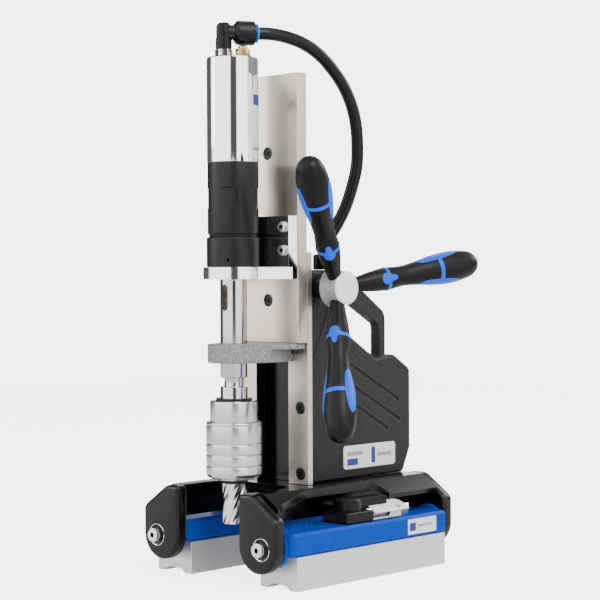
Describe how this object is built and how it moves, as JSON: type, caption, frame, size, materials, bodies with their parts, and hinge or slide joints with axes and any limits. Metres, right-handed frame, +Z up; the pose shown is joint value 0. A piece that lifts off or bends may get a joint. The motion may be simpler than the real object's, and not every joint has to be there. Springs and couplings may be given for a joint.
{
  "type": "magnetic drill press",
  "caption": "Pneumatic magnetic drill press with a rack-fed slide, an annular cutter chuck and swivelling switchable magnet feet.",
  "frame": {"origin": "on the surface the magnets stand on, under the middle of the object's bounding box, hose left out", "axes": "+X to the feed wheel's side, -Y to the drill spindle's side, +Z up"},
  "size_m": [0.2669, 0.3196, 0.636],
  "materials": {
    "black_coat": "gloss",
    "blue_coat": "gloss",
    "shoe_steel": "ground",
    "bright_steel": "polished",
    "dark_steel": "blackened",
    "satin_aluminium": "satin",
    "bright_aluminium": "polished",
    "grey_casting": "hammered",
    "black_casting": "textured powder coat",
    "chuck_steel": "satin",
    "black_plastic": "satin",
    "soft_grip": "matt",
    "grey_plastic": "satin",
    "white_plastic": "gloss",
    "brass": "turned",
    "bronze": "plain bearing bronze",
    "magnet_alloy": "sintered",
    "hose_rubber": "smooth"
  },
  "bodies": {
    "stand": {"bridge_frame": "black_coat", "left_front_pivot_screw": "bright_steel", "left_rear_pivot_screw": "bright_steel", "right_front_pivot_screw": "bright_steel", "right_rear_pivot_screw": "bright_steel", "column_guide": "satin_aluminium", "left_guide_screw_1": "dark_steel", "left_guide_screw_2": "dark_steel", "right_guide_screw_1": "dark_steel", "right_guide_screw_2": "dark_steel", "column_housing": "black_casting", "left_shaft_bearing": "bronze", "right_shaft_bearing": "bronze", "air_hose": "hose_rubber", "hose_port": "black_plastic", "air_valve_body": "brass", "air_inlet_nipple": "bright_steel"},
    "slide": {"feed_slide": "satin_aluminium", "feed_rack": "bright_steel", "motor_bracket": "bright_aluminium", "left_bracket_screw_1": "bright_steel", "left_bracket_screw_2": "bright_steel", "right_bracket_screw_1": "bright_steel", "right_bracket_screw_2": "bright_steel", "steady_bracket": "grey_casting", "clamp_collar": "dark_steel", "spindle_bearing": "bright_steel", "gearbox_housing": "dark_steel", "air_motor_housing": "bright_steel", "elbow_nut": "bright_steel", "hose_elbow": "black_plastic", "exhaust_silencer": "brass"},
    "feed_wheel": {"pinion_shaft": "bright_steel", "wheel_hub": "grey_plastic", "hub_cap": "white_plastic", "hub_spacer": "dark_steel", "grip_1": "soft_grip", "grip_2": "soft_grip", "grip_3": "soft_grip"},
    "spindle": {"drill_spindle": "bright_steel", "chuck_body": "chuck_steel", "annular_cutter": "bright_steel"},
    "rotor": {"motor_rotor": "bright_steel"},
    "planet_1": {"planet_gear_1": "bright_steel"},
    "planet_2": {"planet_gear_2": "bright_steel"},
    "planet_3": {"planet_gear_3": "bright_steel"},
    "sleeve": {"release_sleeve": "chuck_steel", "sleeve_spring": "bright_steel"},
    "pilot": {"pilot_pin": "bright_steel"},
    "left_magnet": {"left_pole_shoe": "shoe_steel", "left_magnet_housing": "blue_coat", "left_switch_base": "black_plastic"},
    "right_magnet": {"right_pole_shoe": "shoe_steel", "right_magnet_housing": "blue_coat", "right_switch_base": "black_plastic"},
    "left_switch": {"left_switch_lever": "black_plastic", "left_magnet_rotor": "magnet_alloy"},
    "right_switch": {"right_switch_lever": "black_plastic", "right_magnet_rotor": "magnet_alloy"},
    "air_valve": {"air_valve_lever": "black_coat"}
  },
  "joints": [
    {"name": "feed_slide", "type": "slide", "parent": "stand", "child": "slide", "axis": [0, 0, 1], "range_m": [-0.105, 0.045], "deforming": ["air_hose"]},
    {"name": "feed_wheel_turn", "type": "hinge", "parent": "stand", "child": "feed_wheel", "pos_m": [-0.0185, -0.0219, 0.331], "axis": [1, 0, 0], "range_deg": [-215, 501.5]},
    {"name": "spindle_spin", "type": "hinge", "parent": "slide", "child": "spindle", "pos_m": [-0.0185, -0.1093, 0.355], "axis": [0, 0, 1], "continuous": true},
    {"name": "rotor_spin", "type": "hinge", "parent": "slide", "child": "rotor", "pos_m": [-0.0185, -0.1093, 0.4739], "axis": [0, 0, 1], "continuous": true},
    {"name": "planet_1_spin", "type": "hinge", "parent": "spindle", "child": "planet_1", "pos_m": [-0.00425, -0.1093, 0.3985], "axis": [0, 0, 1], "continuous": true},
    {"name": "planet_2_spin", "type": "hinge", "parent": "spindle", "child": "planet_2", "pos_m": [-0.02562, -0.09696, 0.3985], "axis": [0, 0, 1], "continuous": true},
    {"name": "planet_3_spin", "type": "hinge", "parent": "spindle", "child": "planet_3", "pos_m": [-0.02562, -0.12164, 0.3985], "axis": [0, 0, 1], "continuous": true},
    {"name": "release_sleeve_lift", "type": "slide", "parent": "spindle", "child": "sleeve", "axis": [0, 0, 1], "range_m": [0, 0.008], "stiffness_N_per_m": 800, "springref_m": -0.006, "deforming": ["sleeve_spring"]},
    {"name": "pilot_pin_lift", "type": "slide", "parent": "spindle", "child": "pilot", "axis": [0, 0, 1], "range_m": [0, 0.01], "stiffness_N_per_m": 300, "springref_m": -0.005},
    {"name": "left_magnet_swivel", "type": "hinge", "parent": "stand", "child": "left_magnet", "pos_m": [-0.1035, 0.003, 0.0465], "axis": [0, 1, 0], "range_deg": [-10, 10]},
    {"name": "right_magnet_swivel", "type": "hinge", "parent": "stand", "child": "right_magnet", "pos_m": [0.0665, 0.003, 0.0465], "axis": [0, 1, 0], "range_deg": [-10, 10]},
    {"name": "left_switch_turn", "type": "hinge", "parent": "left_magnet", "child": "left_switch", "pos_m": [-0.111, -0.0195, 0.077], "axis": [0, 0, 1], "range_deg": [0, 180]},
    {"name": "right_switch_turn", "type": "hinge", "parent": "right_magnet", "child": "right_switch", "pos_m": [0.074, -0.0195, 0.077], "axis": [0, 0, 1], "range_deg": [-180, 0]},
    {"name": "air_valve_turn", "type": "hinge", "parent": "stand", "child": "air_valve", "pos_m": [-0.0851, 0.0755, 0.18], "axis": [1, 0, 0], "range_deg": [0, 90]}
  ],
  "couplings": [
    {"joint": "feed_wheel_turn", "follows": "feed_slide", "rad_per_m": -83.333},
    {"joint": "rotor_spin", "follows": "spindle_spin", "ratio": 5},
    {"joint": "planet_1_spin", "follows": "spindle_spin", "ratio": -2.6667},
    {"joint": "planet_2_spin", "follows": "spindle_spin", "ratio": -2.6667},
    {"joint": "planet_3_spin", "follows": "spindle_spin", "ratio": -2.6667}
  ]
}
